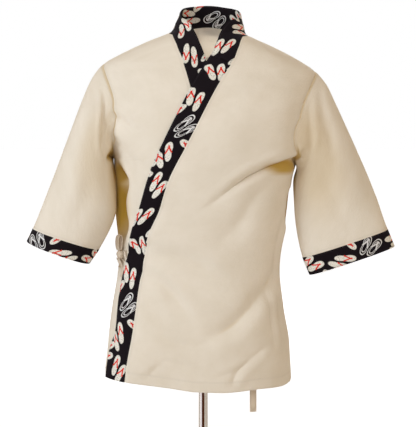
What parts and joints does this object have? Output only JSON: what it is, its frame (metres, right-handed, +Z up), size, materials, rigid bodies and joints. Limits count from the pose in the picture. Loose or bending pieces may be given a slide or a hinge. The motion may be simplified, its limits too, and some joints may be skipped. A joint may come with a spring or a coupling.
{
  "type": "japanese chef jacket on a dress form stand",
  "caption": "Japanese chef jacket with printed neck band and cuffs, wrapped left over right and tied at the waist, worn by a limbless dress form on a short pole and round base.",
  "frame": {"origin": "centre of the base plate's underside, on the pole's axis", "axes": "+Z up along the pole, -Y the jacket's front, +X the wearer's left"},
  "size_m": [0.7604, 0.3, 1.0525],
  "materials": {
    "cloth": "cream cotton twill, matt",
    "print": "near-black printed cotton with small pairs of sandals, matt",
    "tie_cloth": "cream cotton tape folded and stitched, matt",
    "form_cover": "plain stretched cover on the dress form, matt",
    "pole_metal": "polished",
    "base_metal": "satin"
  },
  "bodies": {
    "root": {"back_panel": "cloth", "right_front_panel": "cloth", "left_front_panel": "cloth", "left_front_band": "print", "neck_band": "print", "right_front_band": "print", "left_sleeve": "cloth", "right_sleeve": "cloth", "left_cuff_band": "print", "right_cuff_band": "print", "front_waist_tie": "tie_cloth", "side_waist_tie": "tie_cloth", "short_tail": "tie_cloth", "long_tail": "tie_cloth", "tie_knot": "tie_cloth", "bow_loop": "tie_cloth", "inner_tie": "tie_cloth", "dress_form": "form_cover", "pole": "pole_metal", "base_plate": "base_metal"}
  },
  "joints": []
}
